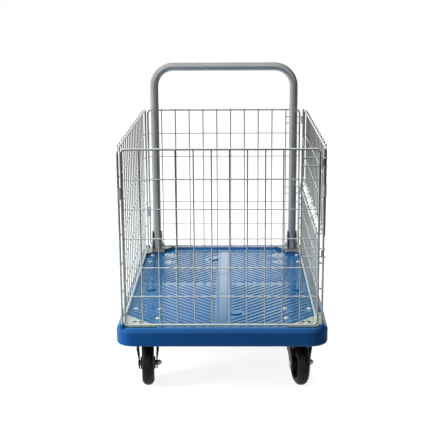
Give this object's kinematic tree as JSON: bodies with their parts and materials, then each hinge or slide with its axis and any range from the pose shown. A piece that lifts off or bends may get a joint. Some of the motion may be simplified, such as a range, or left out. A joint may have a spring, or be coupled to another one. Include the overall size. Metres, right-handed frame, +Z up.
{
  "type": "folding platform cart",
  "caption": "Platform cart with a moulded deck, swivel and rigid casters, a fold-down push handle and a hinged wire mesh cage with a drop flap.",
  "frame": {"origin": "on the floor under the middle of the deck, wheels standing on z = 0", "axes": "+X to the right of someone facing the gate, +Y from the gate toward the push handle, +Z up"},
  "size_m": [0.6, 0.9, 0.887],
  "materials": {
    "deck_plastic": "gloss moulded",
    "plate_zinc": "galvanised sheet",
    "bolt_zinc": "zinc plated",
    "handle_steel": "satin",
    "bracket_steel": "satin",
    "plug_plastic": "matte",
    "spring_steel": "satin",
    "cage_wire": "galvanised wire",
    "caster_black": "black coated",
    "tyre_rubber": "matte",
    "hub_plastic": "matte"
  },
  "bodies": {
    "chassis": {"deck": "deck_plastic", "post_sockets": "deck_plastic", "corner_plates_front": "plate_zinc", "corner_plates_rear": "plate_zinc", "corner_plate_bolts": "bolt_zinc", "caster_bolts": "bolt_zinc", "caster_nuts": "bolt_zinc", "handle_bracket_left": "bracket_steel", "handle_bracket_right": "bracket_steel", "handle_pivot_bolts": "bolt_zinc", "bracket_bolts": "bolt_zinc", "left_frame": "cage_wire", "left_uprights": "cage_wire", "left_rails": "cage_wire", "lower_frame": "cage_wire", "lower_uprights": "cage_wire", "lower_rails": "cage_wire", "right_posts": "cage_wire", "right_post_ties": "cage_wire", "flap_hinge_rings": "cage_wire", "gate_clip": "spring_steel", "back_clip": "spring_steel", "flap_clips": "spring_steel", "front_left_caster_plate": "caster_black", "front_left_kingpin": "bolt_zinc", "front_right_caster_plate": "caster_black", "front_right_kingpin": "bolt_zinc", "rear_left_fork": "caster_black", "rear_left_axle": "bolt_zinc", "rear_right_fork": "caster_black", "rear_right_axle": "bolt_zinc"},
    "handle": {"handle_tube": "handle_steel", "handle_end_plugs": "plug_plastic", "handle_lock_buttons": "spring_steel"},
    "gate": {"gate_frame": "cage_wire", "gate_uprights": "cage_wire", "gate_rails": "cage_wire", "gate_hinge_hooks": "cage_wire"},
    "back_panel": {"back_frame": "cage_wire", "back_uprights": "cage_wire", "back_rails": "cage_wire", "back_hinge_hooks": "cage_wire"},
    "side_flap": {"flap_frame": "cage_wire", "flap_uprights": "cage_wire", "flap_rails": "cage_wire"},
    "left_swivel": {"front_left_fork": "caster_black", "front_left_swivel_balls": "bolt_zinc", "front_left_axle": "bolt_zinc"},
    "right_swivel": {"front_right_fork": "caster_black", "front_right_swivel_balls": "bolt_zinc", "front_right_axle": "bolt_zinc"},
    "front_left_wheel": {"front_left_tyre": "tyre_rubber", "front_left_hub": "hub_plastic"},
    "front_right_wheel": {"front_right_tyre": "tyre_rubber", "front_right_hub": "hub_plastic"},
    "rear_left_wheel": {"rear_left_tyre": "tyre_rubber", "rear_left_hub": "hub_plastic"},
    "rear_right_wheel": {"rear_right_tyre": "tyre_rubber", "rear_right_hub": "hub_plastic"}
  },
  "joints": [
    {"name": "handle_fold", "type": "hinge", "parent": "chassis", "child": "handle", "pos_m": [0, 0.366, 0.241], "axis": [1, 0, 0], "range_deg": [0, 90], "deforming": ["handle_lock_buttons"]},
    {"name": "gate_swing", "type": "hinge", "parent": "chassis", "child": "gate", "pos_m": [0.28, -0.427, 0.47], "axis": [0, 0, 1], "range_deg": [0, 180], "deforming": ["gate_clip"]},
    {"name": "back_swing", "type": "hinge", "parent": "chassis", "child": "back_panel", "pos_m": [0.28, 0.427, 0.47], "axis": [0, 0, -1], "range_deg": [0, 180], "deforming": ["back_clip"]},
    {"name": "flap_drop", "type": "hinge", "parent": "chassis", "child": "side_flap", "pos_m": [0.283, 0, 0.4705], "axis": [0, 1, 0], "range_deg": [0, 180], "deforming": ["flap_clips"]},
    {"name": "left_caster_swivel", "type": "hinge", "parent": "chassis", "child": "left_swivel", "pos_m": [-0.222, -0.296, 0.154], "axis": [0, 0, 1], "continuous": true},
    {"name": "right_caster_swivel", "type": "hinge", "parent": "chassis", "child": "right_swivel", "pos_m": [0.222, -0.296, 0.154], "axis": [0, 0, 1], "continuous": true},
    {"name": "front_left_spin", "type": "hinge", "parent": "left_swivel", "child": "front_left_wheel", "pos_m": [-0.21938, -0.32589, 0.065], "axis": [0.9962, 0.0872, 0], "continuous": true},
    {"name": "front_right_spin", "type": "hinge", "parent": "right_swivel", "child": "front_right_wheel", "pos_m": [0.22721, -0.32554, 0.065], "axis": [0.9848, 0.1736, 0], "continuous": true},
    {"name": "rear_left_spin", "type": "hinge", "parent": "chassis", "child": "rear_left_wheel", "pos_m": [-0.222, 0.296, 0.065], "axis": [1, 0, 0], "continuous": true},
    {"name": "rear_right_spin", "type": "hinge", "parent": "chassis", "child": "rear_right_wheel", "pos_m": [0.222, 0.296, 0.065], "axis": [1, 0, 0], "continuous": true}
  ]
}
